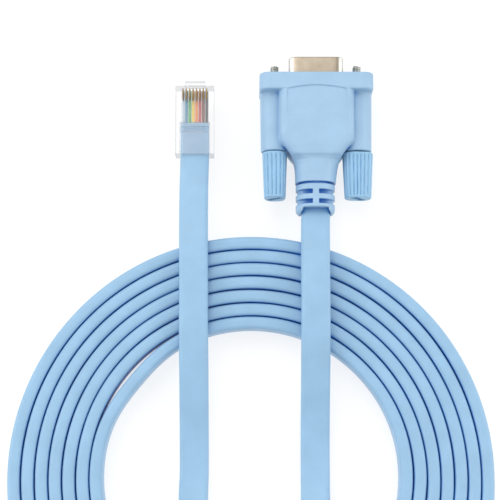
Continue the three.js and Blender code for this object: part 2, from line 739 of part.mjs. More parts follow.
function plugWire(way) {
  const front = PLUG_FRONT - WIRE_FRONT_WALL - SEAT;
  const conductor = rod(WIRE_DIAMETER / 2, JACKET_FRONT + FIT, front, WIRE_SEGMENTS);
  return conductor.translate(PLUG_X + wayOffset(way), 0, WIRE_AXIS);
}

const part = new THREE.Group();

function add(name, geometry, look) {
  const mesh = new THREE.Mesh(geometry, look);
  mesh.name = name;
  part.add(mesh);
  return mesh;
}

add('hood', hood(), bluePvc);
add('dsub_shell', shell(), nickel);
add('dsub_insulator', insulator(), darkPlastic);
contactPlaces().forEach(([x, z], i) => add(`dsub_socket_${i + 1}`, socketContact(x, z), gold));

for (const [side, name] of [[-1, 'left'], [1, 'right']]) {
  const place = [(side * SCREW_SPACING) / 2, 0, AXIS_Z];
  const turning = add(`knob_${name}`, knob(), bluePvc);
  turning.position.set(...place);
  turning.rotation.y = KNOB_TURNS[name];
  add(`screw_${name}`, screw(), steel).position.set(...place);
}

add('plug_body', plugBody(), clearPlastic);
add('plug_latch', plugLatch(), clearPlastic);
for (let way = 0; way < WAYS; way += 1) {
  add(`plug_blade_${way + 1}`, plugBlade(way), gold);
  add(`plug_wire_${way + 1}`, plugWire(way), material(wireColours[way], 0.5));
}

add('lead_rj45', lead(LEAD_RJ45_ROUTE), bluePvc);
add('cable_coil', coil(), bluePvc);
add('lead_db9', lead(LEAD_DB9_ROUTE), bluePvc);

export default part;
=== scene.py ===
"""A console cable: a flat cable in a flat coil, with a D-sub socket and a modular plug. Metres, +Z up."""

import math

import bmesh
import bpy
import numpy as np
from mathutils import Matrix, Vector


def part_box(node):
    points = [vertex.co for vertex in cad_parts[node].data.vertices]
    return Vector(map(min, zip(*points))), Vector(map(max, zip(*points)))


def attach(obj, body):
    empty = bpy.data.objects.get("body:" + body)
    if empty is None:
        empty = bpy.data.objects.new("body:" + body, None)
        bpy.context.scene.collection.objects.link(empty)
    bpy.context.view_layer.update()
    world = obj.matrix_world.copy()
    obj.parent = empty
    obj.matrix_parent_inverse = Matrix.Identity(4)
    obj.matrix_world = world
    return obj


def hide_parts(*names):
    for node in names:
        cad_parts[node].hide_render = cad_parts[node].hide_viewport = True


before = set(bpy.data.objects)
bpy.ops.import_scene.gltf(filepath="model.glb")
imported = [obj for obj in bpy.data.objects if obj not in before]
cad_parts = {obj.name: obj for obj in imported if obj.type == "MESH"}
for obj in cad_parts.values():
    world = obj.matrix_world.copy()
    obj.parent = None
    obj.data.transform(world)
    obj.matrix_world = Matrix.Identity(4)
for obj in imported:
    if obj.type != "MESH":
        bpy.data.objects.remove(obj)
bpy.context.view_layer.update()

# Camera, chosen for a square picture
CAMERA_PLACE = (-0.01995, -0.10295, 0.420)
CAMERA_TILT = math.radians(7.37)
CAMERA_LENS = 100.5
CAMERA_SHIFT = 0.1

# Flat cable and its coil
CABLE_WIDTH = 0.0086
CABLE_THICKNESS = 0.0037
CABLE_CORNER = 0.0012
COIL_PITCH = 0.0040
COIL_TURNS = 7
COIL_LOW, COIL_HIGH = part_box("cable_coil")
COIL_CENTRE = np.array([(COIL_LOW.x + COIL_HIGH.x) / 2, (COIL_LOW.y + COIL_HIGH.y) / 2])
COIL_OUTSIDE = (COIL_HIGH.x - COIL_LOW.x) / 2
FIRST_TURN = COIL_OUTSIDE - (COIL_TURNS - 0.5) * COIL_PITCH
CABLE_STEP = 0.002
COIL_MIDDLE_Z = CABLE_WIDTH / 2
LEAD_OVER_COIL_Z = 0.0133
STEP_OUT_FROM = 200
STEP_OUT_OVER = 140
JOIN_CENTRE = np.array([0.013, -0.0086])
JOIN_RADIUS = 0.030
JOIN_ANGLES = range(278, 326, 8)
JOIN_LOW_BEFORE = 300
JOIN_RISE = 0.0002
TURN_STEP = 5
FIRST_TURN_FROM = -30
LAST_TURN_TO = 250
LIFT_FROM = 180
LIFT_OVER = 60
LIFT_OUT = 0.0004
WAVES = ((0.00005, 3, 47), (0.00004, 5, 101))
LENS_ANGLE = 141
LENS_SPREAD = 15
LENS_DEPTH = 0.00102

# The leads' routes from each connector: x and y from the coil's centre, z from the floor, and how
# far the flat cable leans over, from 0 lying flat to 90 standing on edge
LEAD_RJ45_ROUTE = [
    (-0.0170, 0.1059, 0.00790, 0),
    (-0.0170, 0.0960, 0.00790, 0),
    (-0.0172, 0.0860, 0.00840, 0),
    (-0.0172, 0.0760, 0.00990, 0),
    (-0.0171, 0.0660, 0.01110, 0),
    (-0.0170, 0.0540, 0.01140, 0),
    (-0.0170, 0.0430, 0.01120, 0),
    (-0.0169, 0.0330, 0.00960, 0),
    (-0.0169, 0.0220, 0.00620, 0),
    (-0.0169, 0.0110, 0.00320, 0),
    (-0.0169, 0.0010, 0.00210, 0),
    (-0.0170, -0.0086, 0.00260, 14),
    (-0.0147, -0.0201, 0.00370, 38),
    (-0.0082, -0.0298, 0.00440, 64),
    (0.0015, -0.0363, 0.00450, 84),
    (0.0130, -0.0386, 0.00450, 90),
]
LEAD_DB9_ROUTE = [
    (0.0196, 0.0840, 0.00775, 0),
    (0.0194, 0.0792, 0.00800, 0),
    (0.0192, 0.0744, 0.00920, 0),
    (0.0191, 0.0686, 0.01110, 0),
    (0.0190, 0.0620, 0.01250, 0),
    (0.0190, 0.0540, 0.01320, 0),
    (0.0190, 0.0460, 0.01300, 0),
    (0.0190, 0.0380, 0.01170, 0),
    (0.0190, 0.0280, 0.00820, 0),
    (0.0190, 0.0170, 0.00440, 0),
    (0.0190, 0.0060, 0.00250, 0),
    (0.0190, -0.0040, 0.00320, 4),
    (0.0191, -0.0130, 0.00600, 30),
    (0.0193, -0.0220, 0.01000, 58),
    (0.0195, -0.0300, 0.01270, 80),
    (0.0194, -0.0382, 0.01340, 90),
    (0.0161, -0.0523, 0.01330, 90),
    (0.0065, -0.0630, 0.01330, 90),
    (-0.0066, -0.0680, 0.01330, 90),
    (-0.0183, -0.0671, 0.01330, 90),
]

# D-sub end, along Y from the frame's own boxes
HOOD_LOW, HOOD_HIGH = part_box("hood")
HOOD_HEIGHT = HOOD_HIGH.z - HOOD_LOW.z
AXIS_Z = (HOOD_LOW.z + HOOD_HIGH.z) / 2
HOOD_FRONT = HOOD_HIGH.y
HOOD_BACK = HOOD_LOW.y
FLANGE_WIDTH = HOOD_HIGH.x - HOOD_LOW.x
FLANGE_DEPTH = 0.0052
FLANGE_BACK = HOOD_FRONT - FLANGE_DEPTH
FLANGE_EDGE = 0.0005
FLANGE_CORNER = 0.0030
FLANGE_FILLET = 0.0002
EAR_RADIUS = 0.0044
EAR_TAPER = 0.0002
EAR_LENGTH = 0.0179
EAR_BACK = FLANGE_BACK - EAR_LENGTH
EAR_EDGE = 0.0004
EAR_FILLET = 0.0003
SCREW_X = (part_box("screw_right")[0].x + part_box("screw_right")[1].x) / 2
SCREW_BORE = 0.0017
SCREW_BORE_EDGE = 0.0003
SCOOP_RADIUS = 0.0053
SCOOP_EDGE = 0.0005
BURIED = 0.001
HOOD_GRID = 0.00024
HOOD_FINE_GRID = 0.00015

# Body stations: y from the hood's front, half width, half height and corner radius
BODY_STATIONS = np.array([
    (0.00350, 0.01115, 0.00775, 0.0024),
    (0.01880, 0.01115, 0.00775, 0.0024),
    (0.01990, 0.01108, 0.00775, 0.0032),
    (0.02090, 0.01075, 0.00775, 0.0035),
    (0.02205, 0.00975, 0.00772, 0.0033),
    (0.02320, 0.00878, 0.00764, 0.0030),
    (0.02410, 0.00810, 0.00755, 0.0028),
    (0.02480, 0.00760, 0.00740, 0.0028),
    (0.02545, 0.00722, 0.00670, 0.0036),
    (0.02620, 0.00690, 0.00625, 0.0045),
    (0.02750, 0.00655, 0.00612, 0.0049),
    (0.02885, 0.00636, 0.00606, 0.0050),
    (0.03100, 0.00618, 0.00600, 0.0052),
    (0.03330, 0.00608, 0.00600, 0.0052),
    (0.03355, 0.00588, 0.00570, 0.0052),
    (0.04500, 0.00588, 0.00570, 0.0052),
])
RELIEF_BEND = 0.00035
BEND_FROM = 0.026
BEND_OVER = 0.010
BODY_EDGE = 0.0014
PAST_END = 0.002
SCOOP_FROM, SCOOP_TO = 0.0248, 0.0400

# Strain relief, from the hood's back end
RELIEF_HALF_WIDTH = 0.00588
RELIEF_HALF_HEIGHT = 0.0057
RELIEF_CORNER = 0.0050
STEP_Y = HOOD_BACK + 0.0091
STEP_HALF = 0.00034
STEP_DEPTH = 0.0011
POCKET_PLACES = (HOOD_BACK + 0.0064, HOOD_BACK + 0.00345)
POCKET_HALF = 0.0007
POCKET_FLOOR = 0.0028
POCKET_FLOOR_WIDTH = 0.0054
POCKET_CORNER = 0.0026
POCKET_SPINE = 0.0009
POCKET_EDGE = 0.0002
CUT_EDGE = 0.00015
FINE_EDGE = 0.0001
MOUTH_HALF_WIDTH = 0.0046
MOUTH_HALF_HEIGHT = 0.0021
MOUTH_DEPTH = 0.0064
MOUTH_CORNER = 0.0016
MOUTH_OPENING = 0.0031
MOUTH_OPEN_DEPTH = 0.0024
FLARE_HALF_WIDTH = 0.0044
FLARE_HALF_HEIGHT = 0.0060
FLARE_CORNER = 0.0036
FLARE_DEPTH = 0.0018
FLARE_EDGE = 0.0002

# Bare label recess
RECESS_HALF_WIDTH = 0.0089
RECESS_FRONT = HOOD_FRONT - 0.0041
RECESS_BACK = HOOD_FRONT - 0.0125
RECESS_ARCH = 0.0011
RECESS_DEPTH = 0.00045
RECESS_SHALLOW = 0.25

# Shell, thumbscrews
SHELL_WIDTH = 0.01633
SHELL_HEIGHT = 0.0079
SHELL_CORNER = 0.0025
SHELL_SLANT = 10
SHELL_WALL = 0.00045
RIM_STEPS = 7
SHELL_ROOM = 0.0001
SHELL_SEAT = 0.0017
SHELL_SEAT_EDGE = 0.0003
KNOB_LOW, KNOB_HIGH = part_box("knob_left")
KNOB_FRONT = KNOB_HIGH.y
KNOB_BACK = KNOB_LOW.y
KNOB_HALF_WIDE = 0.00465
KNOB_HALF_NARROW = 0.00375
KNOB_TAPER = 0.86
KNOB_RIBS = 20
KNOB_RIB_DEPTH = 0.00052
KNOB_RIB_SHAPE = 1.3
KNOB_RIB_FADE = 0.0008
KNOB_RIBS_FROM_END = (0.0002, 0.0004)
KNOB_ROUNDNESS = 2.6
KNOB_EDGE = 0.0005
KNOB_TURNS = {"left": math.radians(-93), "right": math.radians(3)}
SLOT_HALF_WIDTH = 0.0011
SLOT_HALF_LENGTH = 0.0026
SLOT_TURN = math.radians(50)
SLOT_DEPTH = 0.0026
KNOB_GRID = 0.00014
KNOB_BORE_EDGE = 0.0002
SCREW_RADIUS = 0.0014
SCREW_ROOM = 0.0001
SCREW_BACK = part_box("screw_left")[0].y
SCREW_REACH = 0.0037
THREAD_PITCH = 0.000635
THREAD_DEPTH = 0.00035
THREAD_BURIED = 0.001
THREAD_STEPS = 12
POINT_LENGTH = 0.0004
POINT_DEPTH = 0.0003
CONTACT_PITCH = 0.00277
CONTACT_ROWS = 0.00284
HOLE_RADIUS = 0.0006
HOLE_FLARE = 0.0003
HOLE_EDGE = 0.00005
SOCKET_RADIUS = 0.00085
SOCKET_FROM_FRONT = 0.0006
INSULATOR_EDGE = 0.0002
INSULATOR_GRID = 0.00016

# Modular plug
PLUG_LOW, PLUG_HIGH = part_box("plug_body")
PLUG_X = (PLUG_LOW.x + PLUG_HIGH.x) / 2
PLUG_BACK = PLUG_LOW.y
NOSE_LENGTH = 0.0025
NOSE_HALF_WIDTH = 0.00305
NOSE_HEIGHT = 0.0029
PLUG_FRONT = PLUG_HIGH.y - NOSE_LENGTH
PLUG_TOP = PLUG_HIGH.z
PLUG_BOTTOM = PLUG_LOW.z
PLUG_EDGE = 0.00018
LATCH_EDGE = 0.00015
BLADE_EDGE = 0.00006
PAST_FACE = 0.001
CHANNEL_Z = LEAD_RJ45_ROUTE[0][2]
CHANNEL_ROOM = 0.0002
CHANNEL_ROOM_LEFT = 0.0003
GROOVE_FROM, GROOVE_TO = 0.0126, 0.0142
GROOVE_HALF_WIDTH = 0.0042
GROOVE_DEPTH = 0.0008
BLADE_SLOT_HALF = 0.00025
BLADE_SLOT_FROM, BLADE_SLOT_TO = 0.0008, 0.0042
WAYS = 8
WAY_PITCH = 0.00102
WIRE_Z = 0.00845
WIRE_RADIUS = 0.00045
WIRE_ROOM = 0.0001
WIRE_END_EDGE = 0.00012
WIRE_END_STEPS = 5
WIRE_LOW, WIRE_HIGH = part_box("plug_wire_1")
WIRES = [
    ("grey_blue", (0.58, 0.68, 0.76)),
    ("blue", (0.03, 0.27, 0.46)),
    ("green", (0.05, 0.42, 0.10)),
    ("yellow", (0.85, 0.62, 0.05)),
    ("orange", (0.85, 0.28, 0.03)),
    ("red", (0.55, 0.04, 0.03)),
    ("brown", (0.20, 0.04, 0.02)),
    ("black", (0.04, 0.04, 0.045)),
]

# Welding and rounding of carved shapes
WELD = 1e-7
FLAT_ANGLE = math.radians(1)
SHARP_ANGLE = math.radians(30)
SHADE_SHARP_FROM = math.radians(35)

# Looks
PVC_BLUE = (0.292, 0.458, 0.632)
CABLE_BLUE = (0.262, 0.442, 0.622)
KNOB_BLUE = (0.258, 0.462, 0.655)
# Deep blue painted in as shade where a blue plastic is closed in: grooves, pockets and the hood's mouth
PAINTED_SHADE_BLUE = (0.020, 0.225, 0.660)
CLEAR_FACE = (0.95, 0.95, 0.96)
# Dark grey painted as shade on the clear plastic's grazing edges, in place of refraction
CLEAR_EDGE_PAINTED_SHADE = (0.26, 0.28, 0.31)
CLEAR_FACE_ON = 0.07
CLEAR_AT_EDGE = 0.75
FLOOR_GLOW = 0.72
# Painted shade on the shell's forward-facing rim and upright sides
SHELL_RIM_PAINTED_SHADE = (0.10, 0.095, 0.085)
GROOVE_REACH = 0.0025
MOUTH_REACH = 0.0050
CLOSED_IN = 0.15
OPEN = 0.60
# The nickel's brown on the flats is a painted reflection of brownish surroundings; the lighter colour below
# is a painted highlight for the shell's rounded corners
NICKEL_PAINTED_REFLECTION = (0.36, 0.305, 0.235)
NICKEL_PAINTED_HIGHLIGHT = (0.84, 0.83, 0.78)
STEEL = (0.58, 0.57, 0.52)
GOLD = (0.72, 0.50, 0.20)
# The blades' gold, darkened as painted shade for the slots they sit in
SHADED_BLADE_GOLD = (0.36, 0.25, 0.11)
NEAR_BLACK = (0.03, 0.03, 0.035)
LIGHTS = [
    # Name, place, target, size and power
    ("key", (-0.60, 1.30, 2.2), (0, -0.07, 0), 1.6, 18),
    ("left_side", (-0.80, 0.0, 0.45), (0, -0.05, 0), 0.6, 2.6),
    ("right_side", (0.80, 0.0, 0.45), (0, -0.05, 0), 0.6, 2.6),
]
WORLD_STRENGTH = 0.85


def camera():
    data = bpy.data.cameras.new("camera")
    data.lens = CAMERA_LENS
    data.shift_y = CAMERA_SHIFT
    data.clip_start = 0.01
    data.clip_end = 10
    made = bpy.data.objects.new("camera", data)
    made.location = CAMERA_PLACE
    made.rotation_euler = (CAMERA_TILT, 0, 0)
    bpy.context.scene.collection.objects.link(made)
    bpy.context.scene.camera = made


def smooth(t):
    """0 below 0, 1 above 1 and a smooth step between."""
    t = np.clip(t, 0, 1)
    return t * t * (3 - 2 * t)


def mesh_piece(name, vertices, faces, material, shade_angle=40):
    """A mesh object from arrays of points and faces, shaded smooth up to an angle."""
    data = bpy.data.meshes.new(name)
    data.from_pydata([tuple(map(float, v)) for v in vertices], [], [tuple(map(int, f)) for f in faces])
    data.materials.append(material)
    made = bpy.data.objects.new(name, data)
    bpy.context.scene.collection.objects.link(made)
    data.shade_smooth()
    if shade_angle < 180:
        data.set_sharp_from_angle(angle=math.radians(shade_angle))
    return made


def rounded_outline(width, height, radius, steps=6, flats=1):
    """A rectangle with round corners, counter-clockwise, with extra points along its long sides."""
    points = []
    for corner, (sx, sy) in enumerate([(1, 1), (-1, 1), (-1, -1), (1, -1)]):
        start = corner * math.pi / 2
        middle = np.array([sx * (width / 2 - radius), sy * (height / 2 - radius)])
        for step in range(steps + 1):
            angle = start + step / steps * math.pi / 2
            points.append(middle + radius * np.array([math.cos(angle), math.sin(angle)]))
        if corner in (0, 2):
            for extra in range(1, flats + 1):
                share = extra / (flats + 1)
                points.append(points[-extra] + share * np.array([-sx * (width - 2 * radius), 0]))
    return np.array(points)


# Cable

def spline(stations, per_span=12):
    """A centripetal Catmull-Rom curve through rows of numbers, of which the first three are a place."""
    rows = np.array(stations, float)
    rows = np.vstack([2 * rows[0] - rows[1], rows, 2 * rows[-1] - rows[-2]])
    gaps = np.linalg.norm(np.diff(rows[:, :3], axis=0), axis=1) ** 0.5
    knots = np.concatenate([[0], np.cumsum(gaps)])
    made = []
    for i in range(1, len(rows) - 2):
        t = np.linspace(knots[i], knots[i + 1], per_span, endpoint=False)[:, None]

        def mix(a, b, ta, tb):
            return ((tb - t) * a + (t - ta) * b) / (tb - ta)

        a = [mix(rows[i + k - 1], rows[i + k], knots[i + k - 1], knots[i + k]) for k in range(3)]
        b = [mix(a[k], a[k + 1], knots[i + k - 1], knots[i + k + 1]) for k in range(2)]
        made.append(mix(b[0], b[1], knots[i], knots[i + 1]))
    made.append(rows[-2][None])
    return np.vstack(made)


def on_coil(radius, degrees):
    angle = math.radians(degrees)
    return COIL_CENTRE + radius * np.array([math.cos(angle), math.sin(angle)])


def coil_stations():
    """The turns on edge, from the joining arc of the first lead to where the last turn lifts off.
    Each turn keeps its radius over the top half and steps out by one pitch round the bottom."""
    stations = []
    for degrees in JOIN_ANGLES:
        angle = math.radians(degrees)
        x, y = COIL_CENTRE + JOIN_CENTRE + JOIN_RADIUS * np.array([math.cos(angle), math.sin(angle)])
        rise = JOIN_RISE if degrees < JOIN_LOW_BEFORE else 0.0
        stations.append((x, y, COIL_MIDDLE_Z + rise, 90))
    last = (COIL_TURNS - 1) * 360
    for degrees in range(FIRST_TURN_FROM, last + LAST_TURN_TO, TURN_STEP):
        turn, within = divmod(degrees, 360)
        step = smooth((within - STEP_OUT_FROM) / STEP_OUT_OVER) if degrees >= 0 else 0.0
        outward = 0.0 if degrees >= last or degrees < 0 else COIL_PITCH * step
        radius = FIRST_TURN + max(turn, 0) * COIL_PITCH + outward
        radius += settle(max(turn, 0), within)
        lift = smooth((degrees - last - LIFT_FROM) / LIFT_OVER)
        radius += LIFT_OUT * lift
        x, y = on_coil(radius, within)
        stations.append((x, y, COIL_MIDDLE_Z + (LEAD_OVER_COIL_Z - COIL_MIDDLE_Z) * lift, 90))
    return stations


def settle(turn, within):
    """How far a turn lies off its even place: slight waves, and the gap inside the second turn."""
    offset = 0.0
    for size, count, shift in WAVES:
        offset += size * math.sin(math.radians(count * within + shift * turn))
    if turn == 0:
        offset -= LENS_DEPTH * math.exp(-(((within - LENS_ANGLE) / LENS_SPREAD) ** 2))
    return offset


def cable_stations():
    """The whole cable from the plug to the D-sub. The second lead runs towards its connector, so its
    lean is counted from the other side."""
    middle_x, middle_y = COIL_CENTRE
    first = [(middle_x + x, middle_y + y, z, lean) for x, y, z, lean in LEAD_RJ45_ROUTE]
    last = [(middle_x + x, middle_y + y, z, 180 - lean) for x, y, z, lean in reversed(LEAD_DB9_ROUTE)]
    return first + coil_stations() + last


def evenly(rows, step):
    """The same curve with its points an even step apart."""
    along = np.concatenate([[0], np.cumsum(np.linalg.norm(np.diff(rows[:, :3], axis=0), axis=1))])
    places = np.linspace(0, along[-1], int(round(along[-1] / step)) + 1)
    return np.stack([np.interp(places, along, rows[:, k]) for k in range(rows.shape[1])], 1), along[-1]


def swept(rows, section):
    """Vertices and faces of a section carried along rows of (x, y, z, lean in degrees)."""
    path = rows[:, :3]
    tangent = np.gradient(path, axis=0)
    tangent /= np.linalg.norm(tangent, axis=1)[:, None]
    side = np.cross(tangent, (0, 0, 1))
    side /= np.linalg.norm(side, axis=1)[:, None]
    lean = np.radians(rows[:, 3])[:, None]
    wide = side * np.cos(lean) + np.cross(tangent, side) * np.sin(lean)
    thin = np.cross(tangent, wide)
    rings = path[:, None] + section[None, :, :1] * wide[:, None] + section[None, :, 1:] * thin[:, None]
    count, around = rings.shape[:2]
    ring, i = np.meshgrid(np.arange(count - 1), np.arange(around), indexing="ij")
    a = ring * around + i
    b = ring * around + (i + 1) % around
    faces = np.stack([a, a + around, b + around, b], -1).reshape(-1, 4).tolist()
    faces.append(list(range(around)))
    faces.append(list(range((count - 1) * around, count * around))[::-1])
    return rings.reshape(-1, 3), faces


def cable(material):
    rows, length = evenly(spline(cable_stations()), CABLE_STEP)
    section = rounded_outline(CABLE_WIDTH, CABLE_THICKNESS, CABLE_CORNER, steps=6, flats=2)
    points, faces = swept(rows, section)
    made = mesh_piece("flat_cable", points, faces, material, 60)
    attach(made, "cable_set")
    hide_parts("lead_rj45", "cable_coil", "lead_db9")
    return made, rows[:, :3], length


# Solids from distance fields

def ticks(low, high, step, fine=None, change=None):
    """Grid places past both ends of a span, finer below a place."""
    if fine is None:
        return np.arange(low - 2 * step, high + 3 * step, step)
    fine_places = np.arange(low - 2 * fine, change, fine)
    return np.concatenate([fine_places, np.arange(change, high + 3 * step, step)])


def surface(field, axes, step):
    """The closed surface where a field of points is zero: a point in each cell that it crosses,
    joined by quads, and drawn onto the field's own zero level."""
    points = np.stack(np.meshgrid(*axes, indexing="ij"), -1)
    values = np.concatenate([field(part) for part in np.array_split(points, 24)])
    shape = np.array(values.shape)
    strides = np.array([shape[1] * shape[2], shape[2], 1])
    crossings, cells = [], []
    for axis in range(3):
        near = np.take(values, range(shape[axis] - 1), axis)
        far = np.take(values, range(1, shape[axis]), axis)
        at = np.argwhere((near < 0) != (far < 0))
        start = near[tuple(at.T)]
        share = start / (start - far[tuple(at.T)])
        one, u, v = (np.eye(3, dtype=int)[(axis + k) % 3] for k in range(3))
        crossings.append(at + share[:, None] * one)
        quad = np.stack([corner @ strides for corner in (at - u - v, at - v, at, at - u)], 1)
        cells.append(np.where((start > 0)[:, None], quad[:, ::-1], quad))
    crossings, cells = np.vstack(crossings), np.vstack(cells)
    used, faces = np.unique(cells, return_inverse=True)
    faces = faces.reshape(cells.shape)
    counts = np.bincount(faces.ravel(), minlength=len(used))
    spread = np.repeat(crossings, 4, axis=0)
    sums = [np.bincount(faces.ravel(), spread[:, k], len(used)) for k in range(3)]
    places = [np.interp(total / counts, np.arange(len(axis)), axis) for total, axis in zip(sums, axes)]
    vertices = np.stack(places, 1)
    reach = step * 0.1
    for _ in range(3):
        value = field(vertices)
        slope = np.stack([field(vertices + reach * e) - field(vertices - reach * e) for e in np.eye(3)], 1)
        slope /= 2 * reach
        move = (value / np.maximum((slope**2).sum(1), 0.2))[:, None] * slope
        vertices -= np.clip(move, -step / 2, step / 2)
    return vertices, faces


def rounded_max(a, b, radius):
    """The edge where two solids' common part turns, rounded."""
    outside = np.sqrt(np.maximum(a + radius, 0) ** 2 + np.maximum(b + radius, 0) ** 2)
    return np.minimum(np.maximum(a + radius, b + radius), 0) + outside - radius


def joined(a, b, fillet):
    """Two solids as one, with a fillet where they meet."""
    return -rounded_max(-a, -b, fillet)


def without(a, b, edge=0.0001):
    """The first solid with the second cut from it."""
    return rounded_max(a, -b, edge)


def slab(values, low, high):
    return np.abs(values - (low + high) / 2) - (high - low) / 2


def rectangle(x, z, half_width, half_height, radius):
    qx, qz = np.abs(x) - half_width + radius, np.abs(z) - half_height + radius
    outside = np.sqrt(np.maximum(qx, 0) ** 2 + np.maximum(qz, 0) ** 2)
    return np.minimum(np.maximum(qx, qz), 0) + outside - radius


def d_outline(x, z, inset=0.0):
    """The D outline of the shell: a rounded trapezium, wide side up."""
    slant = math.radians(SHELL_SLANT)
    top = SHELL_WIDTH / 2 + SHELL_CORNER * (math.tan(slant) + 1 / math.cos(slant) - 1)
    side = (np.abs(x) - top) * math.cos(slant) - (z - SHELL_HEIGHT / 2) * math.sin(slant) + SHELL_CORNER
    upright = np.abs(z) - SHELL_HEIGHT / 2 + SHELL_CORNER
    outside = np.sqrt(np.maximum(side, 0) ** 2 + np.maximum(upright, 0) ** 2)
    return np.minimum(np.maximum(side, upright), 0) + outside - SHELL_CORNER + inset


# Hood

def hood_body(x, y, z):
    """Body, shoulders, neck and relief as one loft along Y."""
    from_front = HOOD_FRONT - y
    half_width, half_height, radius = (
        np.interp(from_front, BODY_STATIONS[:, 0], BODY_STATIONS[:, k]) for k in (1, 2, 3)
    )
    made = rectangle(x, z, half_width, half_height, radius)
    made = rounded_max(made, slab(y, HOOD_BACK, FLANGE_BACK + BURIED), BODY_EDGE)
    for side in (-1, 1):
        along = np.clip(y, HOOD_FRONT - SCOOP_TO, HOOD_FRONT - SCOOP_FROM)
        scoop = np.sqrt((x - side * SCREW_X) ** 2 + (y - along) ** 2 + z**2) - SCOOP_RADIUS
        made = without(made, scoop, SCOOP_EDGE)
    return made


def relief_cuts(made, x, y, z):
    """The step, the pockets beside the spine and the mouth cut from the strain relief."""
    core = rectangle(x, z, RELIEF_HALF_WIDTH - STEP_DEPTH, RELIEF_HALF_HEIGHT - STEP_DEPTH, RELIEF_CORNER)
    step = rounded_max(slab(y, STEP_Y - STEP_HALF, STEP_Y + STEP_HALF), -core, FINE_EDGE)
    made = without(made, step, CUT_EDGE)
    floor_shape = rectangle(x, z, POCKET_FLOOR_WIDTH, POCKET_FLOOR, POCKET_CORNER)
    beside = rounded_max(POCKET_SPINE - np.abs(x), -floor_shape, POCKET_EDGE)
    for place in POCKET_PLACES:
        pocket = rounded_max(slab(y, place - POCKET_HALF, place + POCKET_HALF), beside, POCKET_EDGE)
        made = without(made, pocket, CUT_EDGE)
    mouth = rectangle(x, z, MOUTH_HALF_WIDTH, MOUTH_HALF_HEIGHT, MOUTH_CORNER)
    opening = rectangle(x, z, MOUTH_HALF_WIDTH, MOUTH_OPENING, MOUTH_CORNER)
    flare = rectangle(x, z, FLARE_HALF_WIDTH, FLARE_HALF_HEIGHT, FLARE_CORNER)
    for outline, depth, edge in (
        (mouth, MOUTH_DEPTH, FINE_EDGE),
        (opening, MOUTH_OPEN_DEPTH, FINE_EDGE),
        (flare, FLARE_DEPTH, FLARE_EDGE),
    ):
        made = without(made, np.maximum(outline, slab(y, HOOD_BACK - PAST_END, HOOD_BACK + depth)), edge)
    return made


def hood_field(p):
    x, y, z = p[..., 0], p[..., 1], p[..., 2] - AXIS_Z
    x = x + RELIEF_BEND * smooth((HOOD_FRONT - BEND_FROM - y) / BEND_OVER)
    made = hood_body(x, y, z)
    for side in (-1, 1):
        narrowing = EAR_TAPER * (FLANGE_BACK - y) / (FLANGE_BACK - EAR_BACK)
        ear = np.hypot(x - side * SCREW_X, z) - EAR_RADIUS + narrowing
        ear = rounded_max(ear, slab(y, EAR_BACK, HOOD_FRONT - BURIED), EAR_EDGE)
        made = joined(made, ear, EAR_FILLET)
    flange = rectangle(x, z, FLANGE_WIDTH / 2, HOOD_HEIGHT / 2, FLANGE_CORNER)
    flange = rounded_max(flange, slab(y, FLANGE_BACK, HOOD_FRONT), FLANGE_EDGE)
    made = joined(made, flange, FLANGE_FILLET)
    made = relief_cuts(made, x, y, z)
    arch = RECESS_FRONT - RECESS_ARCH * (x / RECESS_HALF_WIDTH) ** 2 - y
    recess = np.maximum(np.maximum(np.abs(x) - RECESS_HALF_WIDTH, -arch), RECESS_BACK - y)
    share = np.clip((y - RECESS_BACK) / (RECESS_FRONT - RECESS_BACK), 0, 1)
    floor_height = HOOD_HEIGHT / 2 - RECESS_DEPTH * (RECESS_SHALLOW + (1 - RECESS_SHALLOW) * share)
    made = without(made, rounded_max(recess, floor_height - np.abs(z), FINE_EDGE), FINE_EDGE)
    seat = np.maximum(d_outline(x, z) - SHELL_ROOM, HOOD_FRONT - SHELL_SEAT - y)
    made = without(made, seat, SHELL_SEAT_EDGE)
    for side in (-1, 1):
        bore = np.hypot(x - side * SCREW_X, z) - SCREW_BORE
        made = without(made, bore, SCREW_BORE_EDGE)
    return made


def hood(material):
    axes = [
        ticks(HOOD_LOW.x, HOOD_HIGH.x, HOOD_GRID),
        ticks(HOOD_BACK, HOOD_FRONT, HOOD_GRID, HOOD_FINE_GRID, STEP_Y + 0.0012),
        ticks(HOOD_LOW.z, HOOD_HIGH.z, HOOD_GRID),
    ]
    made = mesh_piece("hood_moulding", *surface(hood_field, axes, HOOD_FINE_GRID), material, 180)
    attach(made, "cable_set")
    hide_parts("hood")


# Thumbscrews

def knob_field(p):
    """A tapering oval with rounded ribs, drawn round the Y axis at the origin."""
    x, y, z = p[..., 0], p[..., 1], p[..., 2]
    share = (KNOB_FRONT - y) / (KNOB_FRONT - KNOB_BACK)
    angle = np.arctan2(z, x)
    across = np.abs(np.cos(angle) / KNOB_HALF_WIDE) ** KNOB_ROUNDNESS
    upward = np.abs(np.sin(angle) / KNOB_HALF_NARROW) ** KNOB_ROUNDNESS
    oval = (across + upward) ** (-1 / KNOB_ROUNDNESS) * (1 - (1 - KNOB_TAPER) * share)
    rib = KNOB_RIB_DEPTH * (1 - np.abs(np.cos(angle * KNOB_RIBS / 2))) ** KNOB_RIB_SHAPE
    plain_back, plain_front = KNOB_RIBS_FROM_END
    fade = smooth((y - KNOB_BACK - plain_back) / KNOB_RIB_FADE)
    fade = fade * smooth((KNOB_FRONT - plain_front - y) / KNOB_RIB_FADE)
    made = np.hypot(x, z) - oval + rib * fade
    made = rounded_max(made, slab(y, KNOB_BACK, KNOB_FRONT), KNOB_EDGE)
    c, s = math.cos(SLOT_TURN), math.sin(SLOT_TURN)
    slot = np.maximum(np.abs(s * x + c * z) - SLOT_HALF_WIDTH, np.abs(c * x - s * z) - SLOT_HALF_LENGTH)
    made = without(made, np.maximum(slot, y - KNOB_BACK - SLOT_DEPTH), CUT_EDGE)
    bore = np.maximum(np.hypot(x, z) - SCREW_RADIUS - SCREW_ROOM, SCREW_BACK - y)
    return without(made, bore, KNOB_BORE_EDGE)


